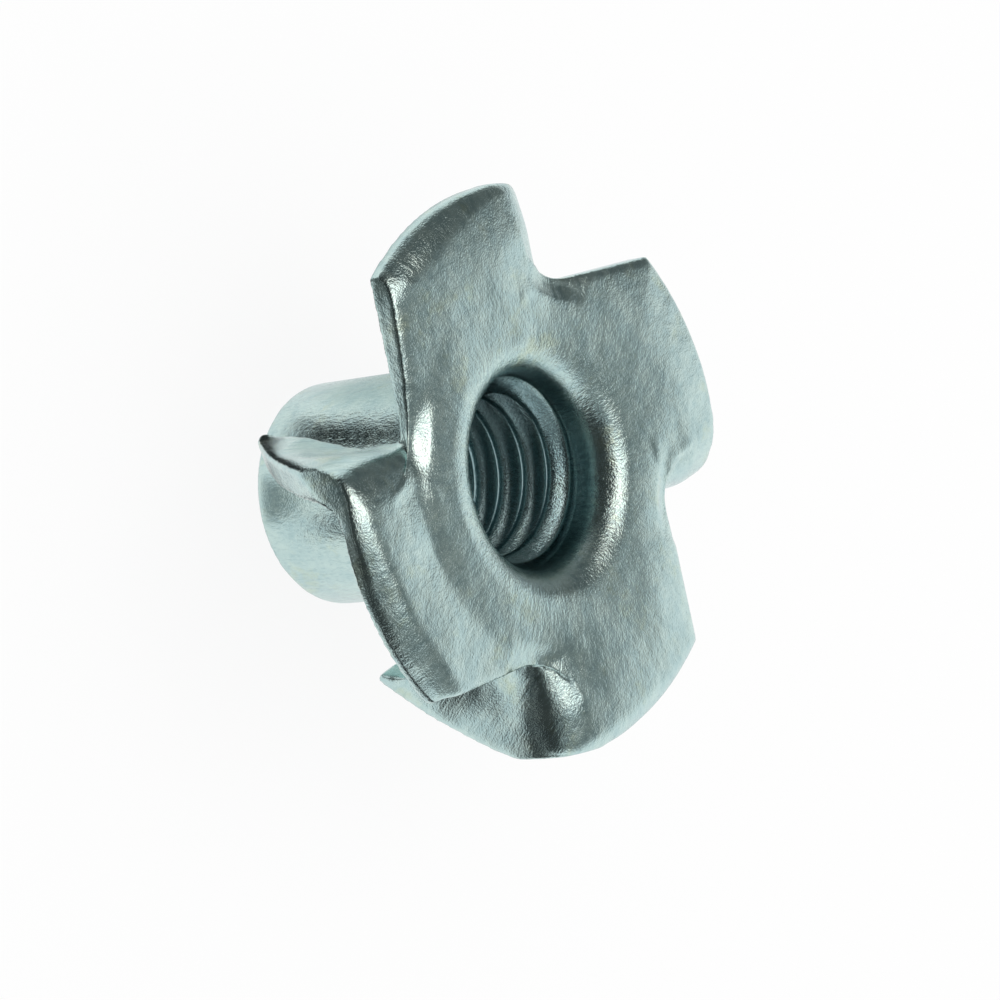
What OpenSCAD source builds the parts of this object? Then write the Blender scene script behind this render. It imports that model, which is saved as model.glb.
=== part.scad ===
// Four-prong tee nut, drawn and folded from one piece of sheet steel.
// The frame has its origin at the centre of the barrel's open end, on the
// surface that the nut stands on. +Z runs up the thread axis to the flange
// face, and the corner of the first lobe points along +X.

/* [Barrel] */
// Outside diameter of the drawn barrel
barrel_d = 7.3; // [7:0.1:8]
// Full height, from the barrel's end to the flange's face
nut_h = 9.4; // [8.5:0.1:12]
// Core diameter of the tapped hole
core_d = 5; // [4.6:0.1:5.4]
// Diameter of the plain mouth above the thread
mouth_d = 6.1; // [6:0.1:6.4]
// Depth of the plain mouth, from the flange's face to the thread's lead
mouth_depth = 1.5; // [1.4:0.05:2]
// Radius where the flange's face rolls over into the mouth
mouth_round = 1.4; // [0.8:0.1:1.4]
// Radius between the barrel and the flange's underside
neck_round = 0.5; // [0.2:0.1:0.8]
// Radius on the outer edge of the barrel's end
end_round = 0.2; // [0.1:0.05:0.4]
// Chamfer where the thread comes out of the barrel's end
end_chamfer = 0.3; // [0.1:0.05:0.5]

/* [Flange] */
// Diameter over the flange's lobes
flange_d = 17.6; // [17:0.1:19]
// Thickness of the sheet
sheet = 1.1; // [0.9:0.05:1.2]
// Angle between a lobe's sheared edge and the radius to its corner
edge_rake = 38.8; // [36:0.2:41]
// Radius at the bottom of the notch between two lobes
notch_round = 2.1; // [1.8:0.1:2.4]

/* [Prongs] */
// Diameter over the prongs, just below the fold
prong_d = 18.1; // [17.9:0.1:18.4]
// Angle between the fold line and the radius to the lobe's corner
fold_turn = 27; // [25:0.5:29]
// Distance from the thread axis to a prong's outer face, at the fold
fold_out = 3.65; // [3.5:0.05:3.8]
// Outer radius of the fold
fold_round = 1.4; // [1.3:0.05:1.6]
// Angle that a prong is folded through
fold_angle = 87; // [84:1:90]
// Height of a prong, from the flange's face to its tip
prong_len = 6.4; // [5.8:0.1:6.6]
// Radius of the curved outer edge that sweeps in to the tip
rim_curve = 9; // [8.8:0.1:9.4]
// Height of that curve's centre above the flange's face
rim_rise = 0.7; // [0.5:0.1:0.9]
// Distance out along the fold to the inner edge of a prong
slot_out = 6.4; // [6.2:0.05:6.6]
// Depth of the slot's widest place below the flange's face
slot_depth = 2; // [1.8:0.1:2.4]
// Radius at the top of the slot beside a prong
slot_round = 1.2; // [1:0.05:1.2]
// Slope of a prong's inner edge in towards the tip
slot_slope = 20; // [17:0.5:22]

/* [Hidden] */
$fn = 72;
lobes = 4;
steel = [0.66, 0.72, 0.73];
overlap = 0.5;                      // of a cut past what it cuts
fold_lap = 0.25;                    // of the folded strip under the disc
fold_drop = 0.02;                   // of the folded strip's top below the face
reach = flange_d;                   // longer than any cut needs
barrel_r = barrel_d / 2;
core_r = core_d / 2;
mouth_r = mouth_d / 2;
flange_r = flange_d / 2;
lead_depth = mouth_r - core_r;      // a 45 degree lead into the thread
seat_z = nut_h - sheet;             // the flange's underside

// Plan of a notch, in the fold frame of the lobe behind it: X runs out along
// the fold line and -Y out to the prong. The lobe in front ends at edge_corner.
fold_start = fold_out - fold_round;
edge_corner = flange_r * [cos(fold_turn - 90), sin(fold_turn - 90)];
edge_angle = 90 - edge_rake + fold_turn;
edge_in = [cos(edge_angle), sin(edge_angle)];
edge_side = [sin(edge_angle), -cos(edge_angle)];
notch_y = -fold_start - notch_round;
notch_x = edge_corner.x + (notch_round - (notch_y - edge_corner.y) * edge_side.y) / edge_side.x;
notch = [notch_x, notch_y];
notch_start = notch - notch_round * edge_side;

// Side view of a prong: the curve of its outer edge starts at the flange's rim.
disc_edge = fold_start - fold_lap;
rim_x = sqrt(flange_r ^ 2 - disc_edge ^ 2) - sqrt(rim_curve ^ 2 - rim_rise ^ 2);
slot = [slot_out - slot_round, -slot_depth];
slot_side = [cos(slot_slope), -sin(slot_slope)];
slot_drop = prong_len - slot_depth - slot_round * sin(slot_slope);
tip_x = slot.x + slot_round * cos(slot_slope) - slot_drop * tan(slot_slope);

// Half section of the barrel, its rolled mouth and the flange's disc.
module turned_section() {
    difference() {
        union() {
            square([barrel_r, nut_h]);
            translate([0, seat_z]) square([flange_r, sheet]);
            translate([0, seat_z - neck_round]) square([barrel_r + neck_round, neck_round]);
        }
        translate([barrel_r + neck_round, seat_z - neck_round]) circle(neck_round);
        polygon([
            [-overlap, -overlap],
            [core_r + end_chamfer + overlap, -overlap],
            [core_r, end_chamfer],
            [core_r, nut_h - mouth_depth - lead_depth],
            [mouth_r, nut_h - mouth_depth],
            [mouth_r, nut_h + overlap],
            [-overlap, nut_h + overlap]
        ]);
        mouth_roll();
        end_roll();
    }
}

// What the rolled mouth takes away above its arc.
module mouth_roll() {
    difference() {
        translate([mouth_r - overlap, nut_h - mouth_round])
            square([mouth_round + overlap, mouth_round + overlap]);
        translate([mouth_r + mouth_round, nut_h - mouth_round]) circle(mouth_round);
    }
}

// What the round edge of the barrel's end takes away below its arc.
module end_roll() {
    difference() {
        translate([barrel_r - end_round, -overlap])
            square([end_round + overlap, end_round + overlap]);
        translate([barrel_r - end_round, end_round]) circle(end_round);
    }
}

// Plan of what is sheared off the disc between one lobe and the next. Where the
// cut follows the fold line, the folded strip carries on from it.
module notch_plan() {
    translate(notch) circle(notch_round);
    polygon([
        notch,
        [notch.x, -disc_edge],
        [reach, -disc_edge],
        [reach, -reach],
        edge_corner - reach * edge_in,
        notch_start
    ]);
}

// Section across the fold: X runs out from the thread axis, Y up from the face.
module fold_section() {
    translate([fold_start, -fold_drop]) {
        translate([-2 * fold_lap, -sheet]) square([2 * fold_lap, sheet]);
        translate([0, -fold_round]) rotate(-fold_angle) {
            difference() {
                intersection() {
                    circle(fold_round);
                    fold_wedge();
                }
                circle(fold_round - sheet);
            }
            translate([0, fold_round - sheet]) square([prong_len, sheet]);
        }
    }
}

// The part of a circle that the fold turns through.
module fold_wedge() {
    polygon([
        [0, 0],
        [0, 2 * fold_round],
        2 * fold_round * [-1, 1],
        2 * fold_round * [-sin(fold_angle), cos(fold_angle)]
    ]);
}

// Side view of a prong: X runs out along the fold, Y up from the flange's face.
module prong_side() {
    difference() {
        intersection() {
            translate([rim_x, rim_rise]) circle(rim_curve);
            polygon([
                [slot.x, 0],
                slot,
                slot + slot_round * slot_side,
                [tip_x, -prong_len],
                [reach, -prong_len],
                [reach, 0]
            ]);
        }
        translate(slot) circle(slot_round);
    }
}

// The folded strip of one lobe, in its fold frame.
module prong() {
    intersection() {
        translate([reach, 0, nut_h]) rotate([90, 0, -90]) linear_extrude(reach) fold_section();
        translate([0, 0, nut_h]) rotate([90, 0, 0]) linear_extrude(reach) prong_side();
        cylinder(h = nut_h + overlap, d = prong_d);
    }
}

module tee_nut() {
    color(steel) {
        difference() {
            rotate_extrude() turned_section();
            for (k = [1:lobes]) rotate(k * 360 / lobes - fold_turn)
                translate([0, 0, seat_z - overlap]) linear_extrude(sheet + 2 * overlap) notch_plan();
        }
        for (k = [1:lobes]) rotate(k * 360 / lobes - fold_turn) prong();
    }
}

tee_nut();
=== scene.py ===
"""Visual model of a four-prong tee nut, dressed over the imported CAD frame.

The nut is pressed from one sheet: a drawn barrel with a tapped hole, a mouth
that rolls over into the flange, and four lobes whose prongs are folded down.
Sizes are in millimetres until a piece is finished, and in metres after that.
"""

import logging
import math
from dataclasses import dataclass, field
from enum import Enum
from typing import NamedTuple

import bpy
import numpy as np
from mathutils import Euler, Matrix, Vector
from mathutils.kdtree import KDTree

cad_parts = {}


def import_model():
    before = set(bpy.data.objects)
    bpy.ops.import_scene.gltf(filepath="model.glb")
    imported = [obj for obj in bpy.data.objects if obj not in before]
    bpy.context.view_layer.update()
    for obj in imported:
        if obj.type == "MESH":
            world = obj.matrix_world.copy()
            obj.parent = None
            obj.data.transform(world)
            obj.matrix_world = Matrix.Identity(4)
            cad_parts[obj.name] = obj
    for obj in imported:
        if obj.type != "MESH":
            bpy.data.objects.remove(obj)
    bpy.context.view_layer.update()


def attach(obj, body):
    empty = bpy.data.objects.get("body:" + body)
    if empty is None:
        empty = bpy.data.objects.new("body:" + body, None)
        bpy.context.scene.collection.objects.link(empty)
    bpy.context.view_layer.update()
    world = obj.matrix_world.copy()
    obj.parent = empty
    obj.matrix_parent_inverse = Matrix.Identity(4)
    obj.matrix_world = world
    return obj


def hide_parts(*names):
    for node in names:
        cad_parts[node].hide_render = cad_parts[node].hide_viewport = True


LOG = logging.getLogger("tee_nut")
METRES = 0.001
SAME_PLACE = 1e-4

Point = tuple[float, float, float]
Flat = tuple[float, float]
Colour = tuple[float, float, float, float]
WHITE: Colour = (1.0, 1.0, 1.0, 1.0)


# ---------------------------------------------------------------- mesh tools


class Op(Enum):
    """What a boolean does with its second solid."""

    CUT = "DIFFERENCE"
    KEEP = "INTERSECT"
    ADD = "UNION"


def pick(obj: bpy.types.Object) -> None:
    """Deselects everything, then selects one object and makes it active.

    Args:
        obj: The object that the next operators work on.
    """
    bpy.ops.object.select_all(action="DESELECT")
    obj.select_set(True)
    bpy.context.view_layer.objects.active = obj


def finish_modifier(obj: bpy.types.Object, kind: str, **settings: object) -> None:
    """Adds a modifier to an object and applies it.

    Args:
        obj: The object to change.
        kind: The modifier's type.
        **settings: The modifier's settings, by name.
    """
    pick(obj)
    modifier = obj.modifiers.new(kind.title(), kind)
    for name, value in settings.items():
        setattr(modifier, name, value)
    bpy.ops.object.modifier_apply(modifier=modifier.name)


def combine(obj: bpy.types.Object, other: bpy.types.Object, op: Op) -> None:
    """Combines an object with a second solid, which is used up.

    Args:
        obj: The solid that is kept.
        other: The solid that is cut away, kept or added.
        op: What is done with it.
    """
    finish_modifier(obj, "BOOLEAN", operation=op.value, solver="MANIFOLD", object=other)
    bpy.data.objects.remove(other, do_unlink=True)


def trace(name: str, points: list[Point]) -> bpy.types.Object:
    """Traces a closed outline point by point and fills it with one face.

    Args:
        name: The new object's name.
        points: The outline's corners in order.

    Returns:
        The object, with everything in it selected.
    """
    bpy.ops.object.select_all(action="DESELECT")
    bpy.ops.mesh.primitive_plane_add(size=1)
    obj = bpy.context.object
    obj.name = name
    bpy.ops.object.mode_set(mode="EDIT")
    bpy.ops.mesh.select_all(action="SELECT")
    bpy.ops.mesh.merge(type="CENTER")
    bpy.ops.transform.translate(value=points[0])
    for start, end in zip(points, points[1:]):
        step = Vector(end) - Vector(start)
        bpy.ops.mesh.extrude_vertices_move(TRANSFORM_OT_translate={"value": step})
    bpy.ops.mesh.select_all(action="SELECT")
    bpy.ops.mesh.edge_face_add()
    bpy.ops.object.mode_set(mode="OBJECT")
    return obj


def push_out(obj: bpy.types.Object, step: Point) -> None:
    """Extrudes a traced face into a solid.

    Args:
        obj: The object with the face.
        step: How far the face is pushed.
    """
    pick(obj)
    bpy.ops.object.mode_set(mode="EDIT")
    bpy.ops.mesh.select_all(action="SELECT")
    bpy.ops.mesh.extrude_region_move(TRANSFORM_OT_translate={"value": step})
    bpy.ops.mesh.select_all(action="SELECT")
    bpy.ops.mesh.normals_make_consistent(inside=False)
    bpy.ops.object.mode_set(mode="OBJECT")


def turn(obj: bpy.types.Object, steps: int) -> None:
    """Spins a traced face round the Z axis into a solid.

    Args:
        obj: The object with the face.
        steps: The number of steps in a full turn.
    """
    pick(obj)
    bpy.ops.object.mode_set(mode="EDIT")
    bpy.ops.mesh.select_all(action="SELECT")
    bpy.ops.mesh.delete(type="ONLY_FACE")
    bpy.ops.mesh.select_all(action="SELECT")
    bpy.ops.mesh.spin(steps=steps, angle=math.tau, center=(0, 0, 0), axis=(0, 0, 1))
    bpy.ops.mesh.select_all(action="SELECT")
    bpy.ops.mesh.remove_doubles(threshold=SAME_PLACE)
    bpy.ops.mesh.normals_make_consistent(inside=False)
    bpy.ops.object.mode_set(mode="OBJECT")


def swing(obj: bpy.types.Object, degrees: float) -> bpy.types.Object:
    """Copies an object with its own mesh and turns the copy round the Z axis.

    Args:
        obj: The object to copy.
        degrees: The angle that the copy is turned through.

    Returns:
        The copy, with the turn in its mesh.
    """
    pick(obj)
    bpy.ops.object.duplicate(linked=False)
    copy = bpy.context.object
    copy.rotation_euler = Euler((0, 0, math.radians(degrees)))
    bpy.ops.object.transform_apply(location=True, rotation=True, scale=True)
    return copy


def arc(centre: Flat, radius: float, start: float, end: float, steps: int) -> list[Flat]:
    """Places points along an arc, both ends included.

    Args:
        centre: The arc's centre.
        radius: The arc's radius.
        start: The angle of the first point, in degrees.
        end: The angle of the last point, in degrees.
        steps: The number of steps between them.

    Returns:
        The points in order.
    """
    angles = [math.radians(start + (end - start) * i / steps) for i in range(steps + 1)]
    return [(centre[0] + radius * math.cos(a), centre[1] + radius * math.sin(a)) for a in angles]


def way_to(azimuth: float, elevation: float) -> Vector:
    """Gives the direction at an azimuth and an elevation.

    Args:
        azimuth: The angle round the Z axis, in degrees.
        elevation: The angle up from the floor, in degrees.

    Returns:
        The direction, with a length of one.
    """
    a, e = math.radians(azimuth), math.radians(elevation)
    return Vector((math.cos(e) * math.cos(a), math.cos(e) * math.sin(a), math.sin(e)))


def positions(obj: bpy.types.Object) -> np.ndarray:
    """Reads an object's vertices as an array of rows.

    Args:
        obj: The object with the mesh.

    Returns:
        One row of X, Y and Z for each vertex.
    """
    points = np.empty(len(obj.data.vertices) * 3)
    obj.data.vertices.foreach_get("co", points)
    return points.reshape(-1, 3)


def normals(obj: bpy.types.Object) -> np.ndarray:
    """Reads the normals at an object's vertices as an array of rows.

    Args:
        obj: The object with the mesh.

    Returns:
        One row for each vertex.
    """
    rows = np.empty(len(obj.data.vertices) * 3)
    obj.data.vertex_normals.foreach_get("vector", rows)
    return rows.reshape(-1, 3)


# ------------------------------------------------------------------ the nut


@dataclass(frozen=True)
class Barrel:
    """The drawn barrel and the mouth that rolls over into the flange."""

    radius: float = 3.57
    height: float = 9.4
    sheet: float = 1.03
    flange_radius: float = 8.75
    core_radius: float = 2.5
    mouth_radius: float = 3.0
    mouth_round: float = 1.3
    mouth_slope: float = 10.0
    dish_radius: float = 6.6
    neck_round: float = 0.5
    end_round: float = 0.2
    dish_steps: int = 12
    turn_steps: int = 180

    def section(self) -> list[Flat]:
        """Gives the half section of barrel, mouth and disc.

        Returns:
            Points of radius and height, in order round the section.
        """
        seat = self.height - self.sheet
        slope = math.radians(self.mouth_slope)
        roll_x = self.mouth_radius + self.mouth_round
        lip_x = roll_x - self.mouth_round * math.sin(slope)
        dish = math.tan(slope) * (self.dish_radius - lip_x) / 2
        drop = dish - self.mouth_round * (1 - math.cos(slope))
        roll = (roll_x, self.height - self.mouth_round - drop)
        neck = (self.radius + self.neck_round, seat - self.neck_round)
        end = (self.radius - self.end_round, self.end_round)
        points = [(self.mouth_radius, 0.0)]
        points += arc(end, self.end_round, -90, 0, 6)
        points += arc(neck, self.neck_round, 180, 90, 8)
        points += [(self.flange_radius, seat), (self.flange_radius, self.height)]
        for i in range(self.dish_steps):
            share = i / self.dish_steps
            x = self.dish_radius + (lip_x - self.dish_radius) * share
            points.append((x, self.height - dish * share**2))
        points += arc(roll, self.mouth_round, 90 + self.mouth_slope, 180, 24)
        return points

    def build(self) -> bpy.types.Object:
        """Turns the section into the blank that the notches are cut from.

        Returns:
            The blank.
        """
        blank = trace("blank", [(x, 0.0, z) for x, z in self.section()])
        turn(blank, self.turn_steps)
        return blank


@dataclass(frozen=True)
class Prong:
    """One folded prong and the notch beside it, in the frame of its fold.

    X runs out along the fold line, -Y out to the prong.
    """

    barrel: Barrel
    count: int = 4
    fold_turn: float = 27.0
    fold_out: float = 3.65
    fold_round: float = 1.9
    fold_angle: float = 87.0
    length: float = 6.55
    tip_width: float = 0.2
    tip_rise: float = 0.05
    hook: tuple[Flat, ...] = ((0.0, 0.9), (-0.1, 0.5), (-0.2, 0.2), (-0.15, 0.0), (0.0, -0.05))
    lap: float = 0.5
    over_prongs: float = 8.78
    rim_curve: float = 15.2
    rim_drop: float = 0.95
    lance_gap: float = 0.15
    dent_depth: float = 0.55
    dent_in: float = 5.2
    dent_out: float = 7.2
    dent_depths: tuple[float, ...] = (0.0, 0.5, 1.3, 1.9, 2.5, 3.1, 3.8, 4.6, 5.3)
    dent_shares: tuple[float, ...] = (0.0, 0.25, 0.67, 0.9, 1.0, 0.88, 0.5, 0.12, 0.0)
    dent_voxel: float = 0.09
    notch_round: float = 2.05
    notch_out: float = 2.2
    edge_rake: float = 38.8

    @property
    def fold_start(self) -> float:
        """Distance from the thread axis to the start of the fold."""
        return self.fold_out - self.fold_round

    def fold_section(self) -> list[Flat]:
        """Gives the section across the fold, out from the axis and up from the face.

        Returns:
            The section's points in order.
        """
        centre = (self.fold_start, -self.fold_round)
        end = 90 - self.fold_angle
        inner = self.fold_round - self.barrel.sheet
        along = Vector((math.sin(math.radians(end)), -math.cos(math.radians(end))))
        points = [(self.fold_start - self.lap, 0.0)]
        outside = arc(centre, self.fold_round, 90, end, 24)
        inside = arc(centre, inner, end, 90, 12)
        points += outside
        points.append(tuple(Vector(outside[-1]) + self.length * along))
        points.append(tuple(Vector(inside[0]) + self.length * along))
        points += inside
        points.append((self.fold_start - self.lap, -self.barrel.sheet))
        return points

    @property
    def corner(self) -> Vector:
        """Corner of the next lobe's sheared edge, at the rim."""
        turned = math.radians(self.fold_turn - 90)
        return self.barrel.flange_radius * Vector((math.cos(turned), math.sin(turned)))

    @property
    def inward(self) -> Vector:
        """Way that the next lobe's sheared edge runs in from its corner."""
        rake = math.radians(90 - self.edge_rake + self.fold_turn)
        return Vector((math.cos(rake), math.sin(rake)))

    @property
    def notch_centre(self) -> Vector:
        """Centre of the notch's round bottom."""
        side = Vector((self.inward.y, -self.inward.x))
        y = -self.notch_out - self.notch_round
        x = self.corner.x + (self.notch_round - (y - self.corner.y) * side.y) / side.x
        return Vector((x, y))

    @property
    def inner_edge(self) -> float:
        """Distance out along the fold to the prong's inner edge."""
        start = self.notch_centre.x - self.notch_round * self.inward.y
        return start + self.lance_gap

    def side_view(self) -> list[Flat]:
        """Gives the prong's side view, out along the fold and up from the face.

        Returns:
            The view's points in order.
        """
        edge = self.fold_start - self.lap / 2
        top = math.sqrt(self.barrel.flange_radius**2 - edge**2)
        rim = Vector((top, -self.rim_drop))
        tip = Vector((self.inner_edge + self.tip_width, self.tip_rise - self.length))
        rise = math.sqrt(self.rim_curve**2 - (rim - tip).length_squared / 4)
        centre = (rim + tip) / 2 + rise * Vector((tip.y - rim.y, rim.x - tip.x)).normalized()
        low, high = (math.degrees(math.atan2(*(end - centre).yx)) for end in (tip, rim))
        inner = self.inner_edge
        points = [(inner, 0.0)]
        points += [(inner + x, z - self.length) for x, z in self.hook]
        points += arc(tuple(centre), self.rim_curve, low, high, 28)
        points.append((top, 0.0))
        return points

    def notch_plan(self) -> list[Flat]:
        """Gives the plan of what is sheared off between two lobes.

        Returns:
            The plan's points in order.
        """
        reach = 2 * self.barrel.flange_radius
        centre, inward = self.notch_centre, self.inward
        start = math.degrees(math.atan2(inward.x, -inward.y)) % 360
        points = arc(centre, self.notch_round, 90, start, 28)
        points.append(tuple(self.corner - reach * inward))
        points += [(reach, -reach), (reach, -self.fold_start + self.lap / 2)]
        points.append((centre.x, -self.fold_start + self.lap / 2))
        return points

    def notch(self) -> bpy.types.Object:
        """Builds the punch that shears one notch.

        Returns:
            The punch, in the fold's frame.
        """
        low = self.barrel.height - 2 * self.barrel.sheet
        punch = trace("punch", [(x, y, low) for x, y in self.notch_plan()])
        push_out(punch, (0, 0, 4 * self.barrel.sheet))
        return punch

    def build(self) -> bpy.types.Object:
        """Builds one prong from its section, its side view and the ring over the prongs.

        Returns:
            The prong, in the fold's frame.
        """
        reach = 2 * self.barrel.flange_radius
        top = self.barrel.height
        prong = trace("prong", [(0.0, -x, z + top) for x, z in self.fold_section()])
        push_out(prong, (reach, 0, 0))
        side = trace("side", [(x, 0.0, z + top) for x, z in self.side_view()])
        push_out(side, (0, -reach, 0))
        combine(prong, side, Op.KEEP)
        bpy.ops.object.select_all(action="DESELECT")
        bpy.ops.mesh.primitive_cylinder_add(
            vertices=180, radius=self.over_prongs, depth=3 * top, location=(0, 0, 0)
        )
        combine(prong, bpy.context.object, Op.KEEP)
        finish_modifier(prong, "REMESH", mode="VOXEL", voxel_size=self.dent_voxel)
        self.dent(prong)
        return prong

    def dent(self, prong: bpy.types.Object) -> None:
        """Presses the prong in towards the barrel where the folding tool bears on it.

        Args:
            prong: The prong, in the fold's frame.
        """
        points = positions(prong)
        across = np.clip((self.dent_out - points[:, 0]) / (self.dent_out - self.dent_in), 0, 1)
        across = across * across * (3 - 2 * across)
        deep = self.barrel.height - points[:, 2]
        down = np.interp(deep, self.dent_depths, self.dent_shares)
        points[:, 1] += self.dent_depth * across * down
        prong.data.vertices.foreach_set("co", points.ravel())
        prong.data.update()


@dataclass(frozen=True)
class Thread:
    """The tapped hole: a sleeve inside the barrel's wall with the thread cut in it."""

    barrel: Barrel
    pitch: float = 1.0
    root_radius: float = 3.0
    sleeve_radius: float = 3.35
    top: float = 7.68
    end_chamfer: float = 0.3
    stock: float = 0.3
    tap_start: float = -0.5
    tap_turns: int = 14
    turn_steps: int = 96
    flank_shares: tuple[float, ...] = (
        *(0.0, 0.06, 0.15, 0.21, 0.3, 0.42, 0.51),
        *(0.56, 0.6, 0.65, 0.7, 0.79, 0.91, 1.0),
    )
    flank_depths: tuple[float, ...] = (
        *(0.0, 0.0, 0.02, 0.1, 0.32, 0.68, 0.93),
        *(0.99, 1.0, 0.99, 0.93, 0.68, 0.28, 0.0),
    )

    def tap_flank(self) -> list[Flat]:
        """Gives one pitch of the tap's outline, with rounded crest and root.

        Returns:
            Points of radius and height, from one core to the next.
        """
        core, cut = self.barrel.core_radius, self.root_radius - self.barrel.core_radius
        pairs = zip(self.flank_shares, self.flank_depths)
        return [(core + cut * depth, self.pitch * share) for share, depth in pairs]

    def open_flank(self) -> bpy.types.Object:
        """Traces one pitch of the tap and opens the side that faces the axis.

        Returns:
            The flank, as a row of edges.
        """
        points = [(x, 0.0, z - 2 * self.pitch) for x, z in self.tap_flank()]
        flank = trace("tap", points)
        pick(flank)
        bpy.ops.object.mode_set(mode="EDIT")
        bpy.context.tool_settings.mesh_select_mode = (False, True, False)
        bpy.ops.mesh.select_all(action="SELECT")
        bpy.ops.mesh.delete(type="ONLY_FACE")
        bpy.ops.mesh.select_all(action="DESELECT")
        bpy.ops.object.mode_set(mode="OBJECT")
        ends = {0, len(points) - 1}
        for edge in flank.data.edges:
            edge.select = set(edge.vertices) == ends
        bpy.ops.object.mode_set(mode="EDIT")
        bpy.ops.mesh.delete(type="EDGE")
        bpy.ops.object.mode_set(mode="OBJECT")
        return flank

    def tap(self) -> bpy.types.Object:
        """Builds the tap, a closed rod with the thread's right-hand helix on it.

        Returns:
            The tap.
        """
        tap = self.open_flank()
        finish_modifier(
            tap,
            "SCREW",
            angle=math.tau,
            screw_offset=self.pitch,
            iterations=self.tap_turns,
            steps=self.turn_steps,
            render_steps=self.turn_steps,
            use_merge_vertices=True,
            merge_threshold=SAME_PLACE,
        )
        pick(tap)
        bpy.ops.object.mode_set(mode="EDIT")
        bpy.ops.mesh.select_all(action="SELECT")
        bpy.ops.mesh.remove_doubles(threshold=SAME_PLACE)
        for height, above in ((self.tap_start, False), (self.barrel.height, True)):
            bpy.ops.mesh.select_all(action="SELECT")
            bpy.ops.mesh.bisect(
                plane_co=(0, 0, height),
                plane_no=(0, 0, 1),
                use_fill=True,
                clear_inner=not above,
                clear_outer=above,
            )
        bpy.ops.mesh.select_all(action="SELECT")
        bpy.ops.mesh.normals_make_consistent(inside=False)
        bpy.ops.object.mode_set(mode="OBJECT")
        return tap

    def build(self) -> bpy.types.Object:
        """Builds the sleeve and cuts the thread in it.

        Returns:
            The threaded sleeve.
        """
        inner = self.barrel.core_radius - self.stock
        lead = self.barrel.mouth_radius - inner
        foot = self.barrel.core_radius + self.end_chamfer
        points = [
            (foot, 0.0),
            (self.sleeve_radius, 0.0),
            (self.sleeve_radius, self.top),
            (self.barrel.mouth_radius, self.top),
            (inner, self.top - lead),
            (inner, foot - inner),
        ]
        sleeve = trace("sleeve", [(x, 0.0, z) for x, z in points])
        turn(sleeve, self.turn_steps)
        combine(sleeve, self.tap(), Op.CUT)
        return sleeve


@dataclass(frozen=True)
class Roll:
    """The rounded corner that shearing leaves between the skin and the edge."""

    width: float
    depth: float
    blend: float = 0.15

    def bend(self, gap: float, depth: float, share: float = 1.0) -> Flat:
        """Lays one point of the square corner on the round.

        Args:
            gap: The point's distance in from the edge.
            depth: The point's depth below the skin.
            share: How full the round is here, 0 to 1.

        Returns:
            How far the point moves out to the edge, and how far down.
        """
        width, drop = self.width * share, self.depth * share
        along = (width - gap + depth) / max(width + drop, 1e-6)
        if not 0 < along < 1:
            return (0.0, 0.0)
        angle = along * math.pi / 2
        return (gap - width * (1 - math.sin(angle)), drop * (1 - math.cos(angle)) - depth)

    def ease(self, gap: float, depth: float, share: float, sheet: float) -> Flat:
        """Lays a point on the round, and only follows it inside the corner.

        Args:
            gap: The point's distance in from the edge.
            depth: The point's depth below the skin.
            share: How full the round is here, 0 to 1.
            sheet: The sheet's thickness.

        Returns:
            How far the point moves out to the edge, and how far down.
        """
        inside = min(min(gap, depth) / self.blend, 1.0)
        on_skin = self.bend(gap, 0.0, share)
        shift, drop = self.bend(gap, depth, share)
        keep = inside * (1 - depth / sheet)
        return (
            shift * (1 - inside) + on_skin[0] * keep,
            drop * (1 - inside) + on_skin[1] * keep,
        )


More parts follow.
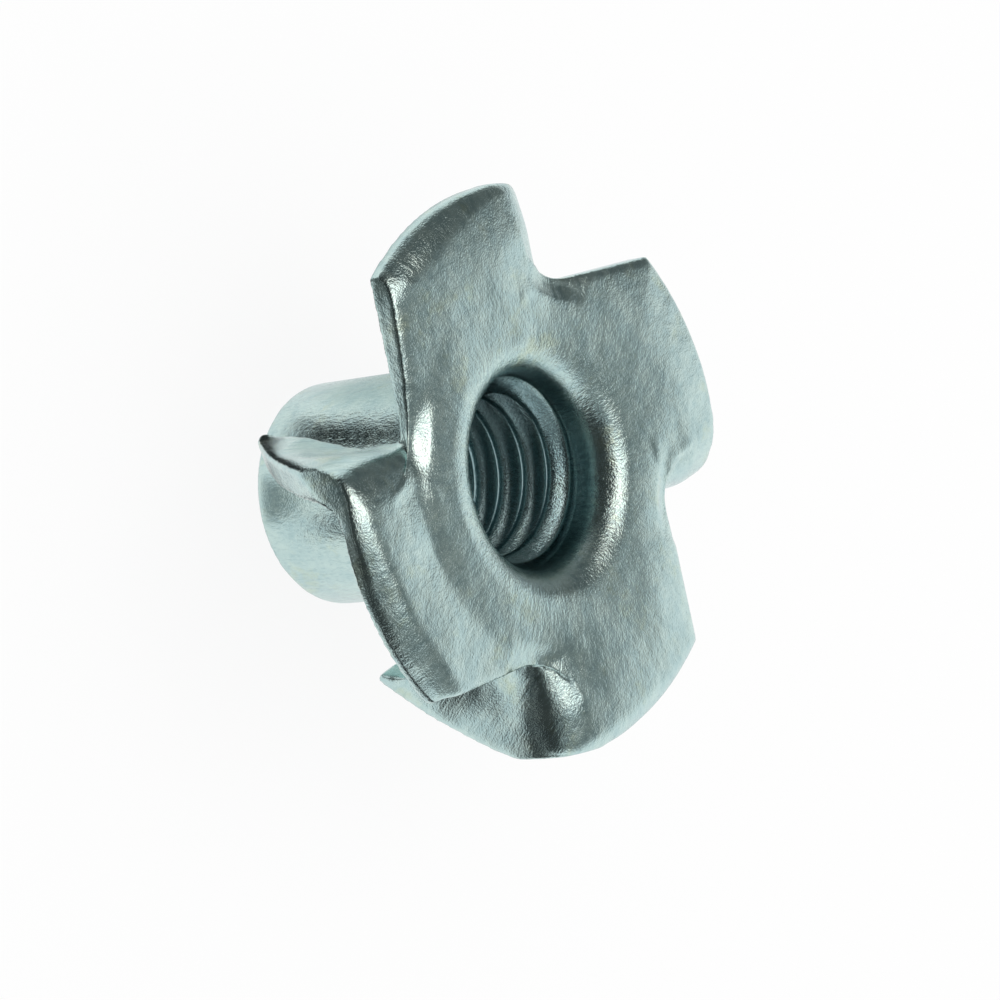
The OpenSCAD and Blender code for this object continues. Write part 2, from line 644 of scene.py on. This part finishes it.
@dataclass
class Skin:
    """Where each point of the sheared nut lies on the sheet.

    The sheet's outer skin is the flange's face, carried on round the folds.
    """

    barrel: Barrel
    prong: Prong
    points: np.ndarray
    facing: np.ndarray
    fold_reach: float = 5.0
    slack: float = 0.2
    edge_margin: float = 0.15
    edge_reach: float = 5.2
    rim_margin: float = 0.12

    def __post_init__(self) -> None:
        """Measures every point and finds the sheared edges."""
        self.depth, self.up = self.measure()
        self.radius = np.hypot(self.points[:, 0], self.points[:, 1])
        self.azimuth = np.degrees(np.arctan2(self.points[:, 1], self.points[:, 0]))
        self.level = np.clip(self.up[:, 2] * 2.5 - 1.5, 0.0, 1.0)
        self.rim = self.radius > self.barrel.flange_radius - self.rim_margin
        self.rim &= self.up[:, 2] > 0.75
        self.tree = self.edge_tree()

    def measure(self) -> tuple[np.ndarray, np.ndarray]:
        """Finds how deep each point lies below the sheet's outer skin.

        Returns:
            The depths, and the skin's outward normals, as rows.
        """
        top, sheet = self.barrel.height, self.barrel.sheet
        depth = top - self.points[:, 2]
        normal = np.tile([0.0, 0.0, 1.0], (len(self.points), 1))
        bend = math.radians(self.prong.fold_angle)
        for k in range(self.prong.count):
            angle = math.radians(k * 360 / self.prong.count - self.prong.fold_turn)
            along = np.array([math.cos(angle), math.sin(angle), 0.0])
            out = np.array([math.sin(angle), -math.cos(angle), 0.0])
            x = self.points @ along
            u = self.points @ out - self.prong.fold_start
            w = self.points[:, 2] - top + self.prong.fold_round
            phi = np.clip(np.arctan2(u, w), 0, bend)
            local = self.prong.fold_round - (u * np.sin(phi) + w * np.cos(phi))
            folded = (u > 0) & (x > self.fold_reach)
            folded &= (local > -self.slack) & (local < sheet + self.slack)
            folded &= ~((depth < 0.5) & (local < -0.05))
            depth[folded] = local[folded]
            rows = np.outer(np.sin(phi), out) + np.outer(np.cos(phi), [0.0, 0.0, 1.0])
            normal[folded] = rows[folded]
        return depth, normal

    def edge_tree(self) -> KDTree:
        """Gathers the points halfway down the sheared edges.

        Returns:
            A search tree of these points, under their own numbers.
        """
        margin = self.edge_margin
        across = np.abs((self.facing * self.up).sum(axis=1))
        sheared = (across < 0.5) & (self.radius > self.edge_reach)
        sheared &= (self.depth > margin) & (self.depth < self.barrel.sheet - margin)
        cut = np.flatnonzero(sheared)
        tree = KDTree(len(cut))
        for i in cut:
            tree.insert(self.points[i], int(i))
        tree.balance()
        return tree

    def near_fold(self, width: float) -> np.ndarray:
        """Finds how near each point lies to the fold of its own quarter.

        Args:
            width: The distance from the fold's start at which the share is nought.

        Returns:
            Shares of 0 to 1.
        """
        quarter, turned = 360 / self.prong.count, self.prong.fold_turn
        lobe = self.azimuth + turned
        swung = np.radians((lobe + quarter / 2) % quarter - quarter / 2 - turned)
        out = self.radius * np.sin(math.radians(-turned) - swung)
        return np.clip(1 + (out - self.prong.fold_start) / width, 0.0, 1.0)


class Amounts(NamedTuple):
    """How much each form shows at every point."""

    rim: np.ndarray
    cut: np.ndarray
    pinch: np.ndarray
    settle: np.ndarray
    sag: np.ndarray


@dataclass(frozen=True)
class Forming:
    """How the press leaves the sheet: rolled edges, a dished face and a settled lobe."""

    rim_roll: Roll = Roll(1.0, 0.68)
    rim_side: float = 150.0
    rim_span: tuple[float, ...] = (75.0, 120.0, 170.0)
    rim_shares: tuple[float, ...] = (1.0, 0.35, 0.2)
    rim_ease: float = 0.4
    cut_roll: Roll = Roll(0.3, 0.15)
    notch_span: tuple[float, ...] = (5.0, 6.3)
    notch_shares: tuple[float, ...] = (3.6, 1.0)
    bend_reach: float = 7.5
    bend_tilts: tuple[float, ...] = (0.0, 0.8, 0.98)
    bend_shares: tuple[float, ...] = (1.2, 1.5, 1.0)
    slump: Roll = Roll(2.6, 0.24)
    slump_lean: float = 1.7
    pinch: Roll = Roll(0.66, 0.3)
    pinch_span: tuple[float, ...] = (4.5, 4.9, 5.5, 6.0)
    pinch_shares: tuple[float, ...] = (0.0, 1.0, 1.0, 0.0)
    sag: Roll = Roll(2.0, 0.08)
    sag_span: tuple[float, ...] = (5.2, 6.5)
    dish: Roll = Roll(3.6, 0.11)
    settle: tuple[float, ...] = (0.0, 0.0, 0.34, 0.0)
    settle_span: tuple[float, ...] = (4.3, 5.9, 7.9)
    settle_shares: tuple[float, ...] = (0.0, 1.0, 0.2)
    mouth_reach: float = 2.6
    edge_gap: float = 0.06

    def rim_amount(self, skin: Skin, fold: np.ndarray) -> np.ndarray:
        """Gives how full the rim's roll is, most of all on one side of the nut.

        Args:
            skin: The sheared nut's skin.
            fold: How near each point lies to a fold.

        Returns:
            The roll's share at every point.
        """
        turned = (skin.azimuth - self.rim_side + 180) % 360 - 180
        full = np.interp(np.abs(turned), self.rim_span, self.rim_shares) * skin.level
        return full * (1 - self.rim_ease * fold)

    def cut_amount(self, skin: Skin) -> np.ndarray:
        """Gives how full the cut edges' roll is, most of all in the notches.

        Args:
            skin: The sheared nut's skin.

        Returns:
            The roll's share at every point.
        """
        notch = np.interp(skin.radius, self.notch_span, self.notch_shares)
        bend = np.interp(skin.up[:, 2], self.bend_tilts, self.bend_shares)
        return np.maximum(notch, np.where(skin.radius > self.bend_reach, bend, 1.0))

    def settle_amount(self, skin: Skin) -> np.ndarray:
        """Gives how far the face is dished and each lobe set down.

        Args:
            skin: The sheared nut's skin.

        Returns:
            The depth at every point.
        """
        quarters = range(0, 450, 90)
        lobe = (skin.azimuth + skin.prong.fold_turn) % 360
        settle = np.interp(lobe, quarters, (*self.settle, self.settle[0]))
        settle *= np.interp(skin.radius, self.settle_span, self.settle_shares) * skin.level
        inside = (skin.barrel.flange_radius - skin.radius) / self.dish.width
        return settle + self.dish.depth * np.clip(inside, 0.0, 1.0)

    def amounts(self, skin: Skin) -> Amounts:
        """Works out how much each form shows at every point.

        Args:
            skin: The sheared nut's skin.

        Returns:
            The amounts.
        """
        fold = skin.near_fold(self.sag.width)
        sag = self.sag.depth * fold**2 * np.clip(skin.up[:, 2] * 2 - 1, 0, 1)
        sag *= np.interp(skin.radius, self.sag_span, (0.0, 1.0))
        pinch = np.interp(skin.radius, self.pinch_span, self.pinch_shares)
        return Amounts(
            rim=self.rim_amount(skin, fold),
            cut=self.cut_amount(skin),
            pinch=pinch * self.pinch.depth,
            settle=self.settle_amount(skin),
            sag=sag,
        )

    def shift(self, skin: Skin, amounts: Amounts, i: int) -> Vector:
        """Works out how far one point is drawn out and down.

        Args:
            skin: The sheared nut's skin.
            amounts: How much each form shows.
            i: The point's number.

        Returns:
            The point's shift.
        """
        place, up, sheet = skin.points[i], Vector(skin.up[i]), skin.barrel.sheet
        deep = min(max(float(skin.depth[i]), 0.0), sheet)
        spot, nearest, _ = skin.tree.find(place)
        out = spot - Vector(place)
        out -= up * out.dot(up)
        gap = out.length
        if gap < self.edge_gap:
            out = Vector(skin.facing[i]) - up * up.dot(Vector(skin.facing[i]))
        along, drop = 0.0, 0.0
        if not skin.rim[nearest]:
            along, drop = self.cut_roll.ease(gap, deep, amounts.cut[i], sheet)
        edge = max(skin.barrel.flange_radius - skin.radius[i], 0.0)
        rim_along, rim_drop = self.rim_roll.ease(edge, deep, amounts.rim[i], sheet)
        if rim_drop > drop:
            out = Vector((place[0], place[1], 0.0))
            along, drop = rim_along, rim_drop
        lean = min(gap, edge * self.slump_lean)
        sink = self.slump.depth * max(1 - lean / self.slump.width, 0.0) ** 2
        sink += max(1 - gap / self.pinch.width, 0.0) * amounts.pinch[i]
        lowered = sink * skin.level[i] + amounts.settle[i] + amounts.sag[i]
        drop += lowered * (1 - deep / sheet)
        return out.normalized() * along - up * drop

    def shifts(self, skin: Skin) -> np.ndarray:
        """Works out how far every point of the outer skin and the edges is drawn.

        Args:
            skin: The sheared nut's skin.

        Returns:
            The points' shifts, as rows.
        """
        amounts, moved = self.amounts(skin), skin.points.copy()
        near = (skin.depth < skin.barrel.sheet - 0.1) & (skin.depth > -0.3)
        near &= skin.radius > self.mouth_reach
        for i in np.flatnonzero(near):
            moved[i] += np.array(self.shift(skin, amounts, i))
        return moved - skin.points


@dataclass
class TeeNut:
    """The whole pressed nut as one closed piece."""

    barrel: Barrel = field(default_factory=Barrel)
    forming: Forming = field(default_factory=Forming)
    voxel: float = 0.105
    evening: int = 3
    evening_share: float = 0.6

    def __post_init__(self) -> None:
        """Derives the parts that share the barrel's sizes."""
        self.prong = Prong(self.barrel)
        self.thread = Thread(self.barrel)

    def press(self) -> bpy.types.Object:
        """Shears the notches, adds the folded prongs and blends them into one skin.

        Returns:
            The pressed nut without its thread.
        """
        nut = self.barrel.build()
        punch, prong = self.prong.notch(), self.prong.build()
        prongs = []
        for k in range(self.prong.count):
            turned = k * 360 / self.prong.count - self.prong.fold_turn
            combine(nut, swing(punch, turned), Op.CUT)
            prongs.append(swing(prong, turned))
        bpy.data.objects.remove(punch, do_unlink=True)
        bpy.data.objects.remove(prong, do_unlink=True)
        pick(nut)
        for other in prongs:
            other.select_set(True)
        bpy.ops.object.join()
        finish_modifier(nut, "REMESH", mode="VOXEL", voxel_size=self.voxel, adaptivity=0.0)
        finish_modifier(nut, "SMOOTH", factor=0.5, iterations=4)
        return nut

    def form(self, nut: bpy.types.Object) -> None:
        """Draws the outer skin down along the sheared edges, and sets the face.

        Args:
            nut: The pressed nut.
        """
        skin = Skin(self.barrel, self.prong, positions(nut), normals(nut))
        moved = skin.points + self.spread(nut, self.forming.shifts(skin))
        moved[:, 2] = np.minimum(moved[:, 2], self.barrel.height)
        nut.data.vertices.foreach_set("co", moved.ravel())
        nut.data.update()

    def spread(self, nut: bpy.types.Object, shifts: np.ndarray) -> np.ndarray:
        """Evens out the shifts between neighbouring points.

        Args:
            nut: The pressed nut.
            shifts: Each point's shift, as rows.

        Returns:
            The evened shifts.
        """
        pairs = np.empty(len(nut.data.edges) * 2, dtype=np.int64)
        nut.data.edges.foreach_get("vertices", pairs)
        first, second = pairs.reshape(-1, 2).T
        count = np.bincount(pairs, minlength=len(shifts))[:, None]
        for _ in range(self.evening):
            total = np.column_stack(
                [
                    np.bincount(first, shifts[second, k], len(shifts))
                    + np.bincount(second, shifts[first, k], len(shifts))
                    for k in range(3)
                ]
            )
            mean = total / np.maximum(count, 1)
            shifts = shifts * (1 - self.evening_share) + mean * self.evening_share
        return shifts

    def build(self) -> bpy.types.Object:
        """Builds the finished nut.

        Returns:
            The nut as one closed mesh in metres.
        """
        nut = self.press()
        self.form(nut)
        finish_modifier(nut, "SMOOTH", factor=0.4, iterations=2)
        combine(nut, self.thread.build(), Op.ADD)
        nut.name = nut.data.name = "pressed_nut"
        pick(nut)
        nut.scale = (METRES,) * 3
        bpy.ops.object.transform_apply(location=True, rotation=True, scale=True)
        bpy.ops.object.shade_smooth()
        return nut


# ----------------------------------------------------------------- finishes


class Socket:
    """A shader value that can be used in plain arithmetic."""

    def __init__(self, nodes: "Nodes", link: bpy.types.NodeSocket) -> None:
        """Wraps one output socket."""
        self.nodes = nodes
        self.link = link

    def _do(self, operation: str, *values: object) -> "Socket":
        """Adds a Math node with this operation."""
        return self.nodes.add("ShaderNodeMath", {"operation": operation}, list(values))

    def __add__(self, other: object) -> "Socket":
        """Adds."""
        return self._do("ADD", self, other)

    __radd__ = __add__

    def __sub__(self, other: object) -> "Socket":
        """Subtracts."""
        return self._do("SUBTRACT", self, other)

    def __rsub__(self, other: object) -> "Socket":
        """Subtracts from a number."""
        return self._do("SUBTRACT", other, self)

    def __mul__(self, other: object) -> "Socket":
        """Multiplies."""
        return self._do("MULTIPLY", self, other)

    __rmul__ = __mul__

    def __truediv__(self, other: object) -> "Socket":
        """Divides."""
        return self._do("DIVIDE", self, other)

    def __rtruediv__(self, other: object) -> "Socket":
        """Divides a number."""
        return self._do("DIVIDE", other, self)

    def __pow__(self, other: float) -> "Socket":
        """Raises to a power."""
        return self._do("POWER", self, other)

    def clamp(self) -> "Socket":
        """Limits the value to 0..1."""
        return self.nodes.add("ShaderNodeClamp", {}, [self])

    def ramp(self, low: float, high: float) -> "Socket":
        """Maps a range of values smoothly to 0..1.

        Args:
            low: The value that becomes 0.
            high: The value that becomes 1.

        Returns:
            The mapped value.
        """
        return self.nodes.add(
            "ShaderNodeMapRange",
            {"interpolation_type": "SMOOTHSTEP"},
            {"Value": self, "From Min": low, "From Max": high},
        )


class Nodes:
    """Adds nodes to one material's tree."""

    def __init__(self, tree: bpy.types.NodeTree) -> None:
        """Starts with an empty tree."""
        self.tree = tree
        tree.nodes.clear()

    def add(
        self,
        kind: str,
        settings: dict[str, object] | None = None,
        values: dict[str, object] | list[object] | None = None,
        output: int | str = 0,
    ) -> Socket:
        """Adds one node.

        Args:
            kind: The node's type.
            settings: Its settings, which are set before its sockets.
            values: Its sockets' values or links, by name or in order.
            output: The output that is used.

        Returns:
            The chosen output.
        """
        node = self.tree.nodes.new(kind)
        for name, value in (settings or {}).items():
            setattr(node, name, value)
        pairs = values.items() if isinstance(values, dict) else enumerate(values or [])
        for key, value in pairs:
            socket = node.inputs[key]
            if isinstance(value, Socket):
                self.tree.links.new(value.link, socket)
            else:
                socket.default_value = value
        return Socket(self, node.outputs[output])

    def finish(self, shader: Socket) -> None:
        """Joins a shader to the material's surface."""
        out = self.tree.nodes.new("ShaderNodeOutputMaterial")
        self.tree.links.new(shader.link, out.inputs["Surface"])

    def mix(self, share: object, first: object, second: object) -> Socket:
        """Mixes two colours.

        Args:
            share: How much of the second colour shows.
            first: The first colour.
            second: The second colour.

        Returns:
            The mixed colour.
        """
        node = self.tree.nodes.new("ShaderNodeMix")
        node.data_type = "RGBA"
        for index, value in ((0, share), (6, first), (7, second)):
            if isinstance(value, Socket):
                self.tree.links.new(value.link, node.inputs[index])
            else:
                node.inputs[index].default_value = value
        return Socket(self, node.outputs[2])

    def noise(self, where: Socket, scale: float, detail: float = 2.0, rough: float = 0.5) -> Socket:
        """Adds a noise texture.

        Args:
            where: The coordinates.
            scale: Its scale.
            detail: Its number of octaves.
            rough: How strong the finer octaves are.

        Returns:
            The noise's value.
        """
        return self.add(
            "ShaderNodeTexNoise",
            {"noise_dimensions": "3D"},
            {"Vector": where, "Scale": scale, "Detail": detail, "Roughness": rough},
        )


class Place(NamedTuple):
    """Coordinates on the nut, in millimetres."""

    mm: Socket
    z: Socket
    radius: Socket
    drawn: Socket


@dataclass(frozen=True)
class ZincPlate:
    """Bright zinc plating over drawn and pressed steel."""

    pale: Colour = (0.59, 0.75, 0.72, 1.0)
    cool: Colour = (0.49, 0.66, 0.66, 1.0)
    straw: Colour = (0.58, 0.68, 0.52, 1.0)
    # Dark teal of the drawn streaks, and of the painted shade in the tapped hole.
    deep: Colour = (0.20, 0.34, 0.38, 1.0)
    roughness: float = 0.2
    rough_speck: float = 0.2
    rough_cloud: float = 0.06
    hole_radius: float = 3.1
    # Share of painted shade, with a darker teal tone, in the tapped hole.
    hole_shade_share: float = 0.6
    straw_share: float = 0.55
    # Share of dark teal for the darker drawn streaks, and for more painted shade in the tapped
    # hole.
    streaks_and_hole_shade_share: float = 0.22
    lines: float = 34.0
    line_run: float = 3.6
    relief: float = 0.00003
    wave_share: float = 3.0
    top: float = 9.4

    def place(self, nodes: Nodes) -> Place:
        """Works out the coordinates that the patterns read.

        Args:
            nodes: The material's nodes.

        Returns:
            The coordinates, with a set that runs in and out with the drawn metal.
        """
        spot = nodes.add("ShaderNodeTexCoord", output="Object")
        scale = {"Vector": spot, "Scale": 1 / METRES}
        mm = nodes.add("ShaderNodeVectorMath", {"operation": "SCALE"}, scale)
        x, y, z = (nodes.add("ShaderNodeSeparateXYZ", {}, [mm], axis) for axis in "XYZ")
        radius = (x * x + y * y) ** 0.5
        drawn = nodes.add(
            "ShaderNodeCombineXYZ",
            {},
            [x / radius * self.lines, y / radius * self.lines, (radius + z) * self.line_run],
        )
        return Place(mm, z, radius, drawn)

    def colour(self, nodes: Nodes, place: Place, cloud: Socket, speck: Socket) -> Socket:
        """Mixes the plating's colour, with straw stains, darker drawn streaks, and painted shade
        with a darker teal tone in the tapped hole.

        Args:
            nodes: The material's nodes.
            place: The coordinates.
            cloud: The soft clouds in the plating.
            speck: The fine marks of the drawn metal.

        Returns:
            The colour.
        """
        stain = nodes.noise(place.mm, 0.7, 4.0, 0.65)
        # Painted shade inside the tapped hole, where little light reaches, with a darker teal tone
        # there.
        hole = 1.0 - place.radius.ramp(self.hole_radius - 0.25, self.hole_radius + 0.1)
        # Darker drawn streaks outside the hole, and more painted shade inside it.
        streaks_and_hole_shade = 1.0 - speck.ramp(0.30, 0.55) * (1.0 - hole)
        colour = nodes.mix(cloud.ramp(0.3, 0.7), self.cool, self.pale)
        colour = nodes.mix(stain.ramp(0.55, 0.72) * self.straw_share, colour, self.straw)
        colour = nodes.mix(hole * self.hole_shade_share, colour, self.deep)
        return nodes.mix(streaks_and_hole_shade * self.streaks_and_hole_shade_share, colour, self.deep)

    def bump(self, nodes: Nodes, place: Place, speck: Socket) -> Socket:
        """Raises fine marks, stronger on the rolled edges and the mouth, on a soft wave.

        Args:
            nodes: The material's nodes.
            place: The coordinates.
            speck: The fine marks of the drawn metal.

        Returns:
            The bumped normal.
        """
        fine = nodes.noise(place.mm, 16.0, 2.0, 0.6)
        wave = nodes.noise(place.mm, 0.5, 2.0, 0.5)
        edge = (self.top - place.z).ramp(0.05, 0.5)
        edge = edge * place.radius.ramp(5.4, 6.2) * place.z.ramp(6.5, 7.5)
        lip = 1.0 - place.radius.ramp(3.9, 4.5)
        marks = (speck * 0.5 + fine * 0.35) * (1.0 + edge * 0.3 + lip * 0.3)
        height = marks + wave * self.wave_share
        values = {"Strength": 1.0, "Distance": self.relief, "Height": height}
        return nodes.add("ShaderNodeBump", {}, values, "Normal")

    def build(self) -> bpy.types.Material:
        """Builds the material.

        Returns:
            The material.
        """
        material = bpy.data.materials.new("zinc_plate")
        material.use_nodes = True
        nodes = Nodes(material.node_tree)
        place = self.place(nodes)
        cloud = nodes.noise(place.mm, 1.3, 3.0, 0.6)
        speck = nodes.noise(place.drawn, 1.0, 3.0, 0.6)
        rough = self.roughness + (speck - 0.5) * self.rough_speck
        rough = rough + (cloud - 0.5) * self.rough_cloud
        values = {
            "Base Color": self.colour(nodes, place, cloud, speck),
            "Metallic": 1.0,
            "Roughness": rough,
            "Normal": self.bump(nodes, place, speck),
        }
        nodes.finish(nodes.add("ShaderNodeBsdfPrincipled", {}, values))
        return material


# ------------------------------------------------------------------- studio


@dataclass(frozen=True)
class ViewCamera:
    """The camera, aimed past the flange from above and rolled on its side."""

    aim: Point = (-0.002517, 0.001568, 0.0094)
    distance: float = 0.087695
    azimuth: float = 132.717
    elevation: float = 40.292
    roll: float = 83.855
    lens: float = 107.05
    sensor: float = 36.0

    def matrix(self) -> Matrix:
        """Gives the camera's place and turn.

        Returns:
            The camera's world matrix.
        """
        back = way_to(self.azimuth, self.elevation)
        turned = back.to_track_quat("Z", "Y").to_matrix()
        turned = turned @ Matrix.Rotation(math.radians(self.roll), 3, "Z")
        return Matrix.Translation(Vector(self.aim) + back * self.distance) @ turned.to_4x4()

    def build(self) -> bpy.types.Object:
        """Makes the camera and gives it to the scene.

        Returns:
            The camera.
        """
        data = bpy.data.cameras.new("view_camera")
        data.lens, data.sensor_width = self.lens, self.sensor
        data.clip_start, data.clip_end = 0.005, 10.0
        camera = bpy.data.objects.new("view_camera", data)
        camera.matrix_world = self.matrix()
        bpy.context.collection.objects.link(camera)
        bpy.context.scene.camera = camera
        return camera


@dataclass(frozen=True)
class Lamp:
    """One round soft lamp, placed by its direction from the nut."""

    name: str
    azimuth: float
    elevation: float
    distance: float
    size: float
    level: float

    def build(self) -> bpy.types.Object:
        """Hangs the lamp so that it faces the nut.

        Returns:
            The lamp.
        """
        way = way_to(self.azimuth, self.elevation)
        data = bpy.data.lights.new(self.name, "AREA")
        data.shape, data.size = "DISK", self.size
        data.energy = self.level * math.pi * math.pi * (self.size / 2) ** 2
        light = bpy.data.objects.new(self.name, data)
        light.location = way * self.distance
        light.rotation_mode = "QUATERNION"
        light.rotation_quaternion = way.to_track_quat("Z", "Y")
        bpy.context.collection.objects.link(light)
        return light


@dataclass(frozen=True)
class Card:
    """A curved, soft-edged card or light panel that the metal mirrors.

    Longitude runs right from the camera and latitude up, in degrees.
    """

    name: str
    west: float
    east: float
    low: float
    high: float
    level: float
    fade: float = 0.2
    distance: float = 0.6
    tint: Colour = (0.93, 1.0, 0.99, 1.0)
    cells: int = 24

    def finish(self) -> bpy.types.Material:
        """Builds the card's finish, which thins out towards its edges.

        Returns:
            The material.
        """
        material = bpy.data.materials.new(self.name)
        material.use_nodes = True
        nodes = Nodes(material.node_tree)
        flat = nodes.add("ShaderNodeTexCoord", output="UV")
        ends = []
        for axis in ("X", "Y"):
            along = nodes.add("ShaderNodeSeparateXYZ", {}, [flat], axis)
            ends += [along, 1.0 - along]
        body = ends[0].ramp(0.0, self.fade)
        for end in ends[1:]:
            body = body * end.ramp(0.0, self.fade)
        clear = nodes.add("ShaderNodeBsdfTransparent")
        values = {"Color": self.tint, "Strength": self.level}
        glow = nodes.add("ShaderNodeEmission", {}, values)
        nodes.finish(nodes.add("ShaderNodeMixShader", {}, [body, clear, glow]))
        return material

    def lay(self, right: np.ndarray, up: np.ndarray, turned: Matrix) -> np.ndarray:
        """Places the card's points round the camera.

        Args:
            right: Each point's share from west to east.
            up: Each point's share from low to high.
            turned: The camera's turn.

        Returns:
            The points.
        """
        lon = np.radians(self.west + (self.east - self.west) * right)
        lat = np.radians(self.low + (self.high - self.low) * up)
        across = np.cos(lat) * np.sin(lon)
        ways = np.column_stack([across, np.sin(lat), np.cos(lat) * np.cos(lon)])
        return ways @ np.array(turned.to_3x3()).T * self.distance

    def build(self, turned: Matrix) -> bpy.types.Object:
        """Makes the card.

        Args:
            turned: The camera's turn.

        Returns:
            The card.
        """
        bpy.ops.object.select_all(action="DESELECT")
        bpy.ops.mesh.primitive_grid_add(
            x_subdivisions=self.cells, y_subdivisions=self.cells, size=2
        )
        card = bpy.context.object
        card.name = card.data.name = self.name
        right, up = positions(card)[:, :2].T / 2 + 0.5
        card.data.vertices.foreach_set("co", self.lay(right, up, turned).ravel())
        card.data.update()
        card.visible_camera = card.visible_shadow = card.visible_diffuse = False
        card.data.materials.append(self.finish())
        return card


@dataclass(frozen=True)
class FloorCard(Card):
    """A card that lies on the floor, between two azimuths and two radii in millimetres."""

    def lay(self, right: np.ndarray, up: np.ndarray, turned: Matrix) -> np.ndarray:
        """Places the card's points on the floor.

        Args:
            right: Each point's share from west to east.
            up: Each point's share from the inner radius to the outer one.
            turned: The camera's turn, which doesn't matter here.

        Returns:
            The points.
        """
        angle = np.radians(self.west + (self.east - self.west) * right)
        radius = (self.low + (self.high - self.low) * up) * METRES
        height = np.full_like(radius, self.distance * METRES)
        return np.column_stack([radius * np.cos(angle), radius * np.sin(angle), height])


@dataclass(frozen=True)
class Studio:
    """A white floor, an even white tent, soft lamps, and grey cards and light panels."""

    lamps: tuple[Lamp, ...]
    cards: tuple[Card, ...]
    sky: float = 1.0
    floor_size: float = 3.0
    floor_glow: float = 0.88
    floor_shade: Colour = (0.9, 0.9, 0.9, 1.0)

    def world(self) -> None:
        """Sets the even tent."""
        world = bpy.data.worlds.new("white_tent")
        bpy.context.scene.world = world
        world.use_nodes = True
        background = world.node_tree.nodes["Background"]
        background.inputs["Color"].default_value = WHITE
        background.inputs["Strength"].default_value = self.sky

    def floor(self) -> bpy.types.Object:
        """Makes the floor, white where it is seen and with a soft shadow.

        Returns:
            The floor.
        """
        bpy.ops.object.select_all(action="DESELECT")
        bpy.ops.mesh.primitive_plane_add(size=self.floor_size)
        floor = bpy.context.object
        floor.name = "floor"
        material = bpy.data.materials.new("white_floor")
        material.use_nodes = True
        nodes = Nodes(material.node_tree)
        camera_ray = nodes.add("ShaderNodeLightPath", output="Is Camera Ray")
        glossy_ray = nodes.add("ShaderNodeLightPath", output="Is Glossy Ray")
        seen = (camera_ray + glossy_ray).clamp()
        matt = nodes.add("ShaderNodeBsdfDiffuse", {}, {"Color": self.floor_shade})
        glow = nodes.add("ShaderNodeEmission", {}, {"Color": WHITE, "Strength": 1.0})
        nodes.finish(nodes.add("ShaderNodeMixShader", {}, [seen * self.floor_glow, matt, glow]))
        floor.data.materials.append(material)
        return floor

    def build(self, turned: Matrix) -> None:
        """Sets up tent, floor, lamps and cards.

        Args:
            turned: The camera's turn, which the cards are set round.
        """
        self.world()
        self.floor()
        for lamp in self.lamps:
            lamp.build()
        for card in self.cards:
            card.build(turned)


LAMPS = (Lamp("top_lamp", azimuth=20, elevation=75, distance=0.9, size=0.4, level=0.9),)
# Each card's bounds are given as west, east, low and high.
CARDS = (
    Card("key_panel", 30, 64, -3, 44, level=2.4, distance=0.5, tint=(1.0, 0.89, 0.84, 1.0)),
    Card("front_card", -62, 38, -75, 88, level=0.05, fade=0.1),
    Card("side_card", 44, 113, -60, 42, level=0.19, fade=0.38, distance=0.62),
    Card("top_card", 14, 146, 10, 88, level=0.12, fade=0.18, distance=0.58),
    Card("low_card", 18, 74, -48, -10, level=0.18, fade=0.3, distance=0.59),
    # The floor cards show only in the metal's reflections, not to the camera: painted dark
    # reflections in the barrel, prongs and sheared edges, and in shade_floor a painted shade on the
    # barrel under a prong.
    FloorCard("front_floor", 138, 240, 14, 200, level=0.05, fade=0.04, distance=0.10),
    FloorCard("start_floor", 84, 146, 11, 200, level=0.12, fade=0.04, distance=0.12),
    FloorCard("rim_floor", 147, 167, 5.4, 18, level=0.05, fade=0.12, distance=0.14),
    FloorCard("back_floor", 0, 66, 3.4, 16, level=0.70, fade=0.2, distance=0.05),
    FloorCard("band_floor", 74, 104, 4, 15, level=0.03, fade=0.14, distance=0.08),
    FloorCard("shade_floor", 116, 150, 3.5, 5.7, level=0.34, fade=0.3, distance=0.06),
)


def main() -> None:
    """Builds the camera, the studio, the nut and its finish in order."""
    logging.basicConfig(level=logging.INFO, format="%(name)s: %(message)s")
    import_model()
    camera = ViewCamera().build()
    Studio(LAMPS, CARDS).build(camera.matrix_world)
    pressed = TeeNut()
    nut = pressed.build()
    nut.data.materials.clear()
    nut.data.materials.append(ZincPlate(top=pressed.barrel.height).build())
    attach(nut, "root")
    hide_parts("tee_nut")
    LOG.info("%s: %d faces", nut.name, len(nut.data.polygons))
    bpy.context.scene.view_settings.view_transform = "Standard"


if __name__ == "__main__":
    main()
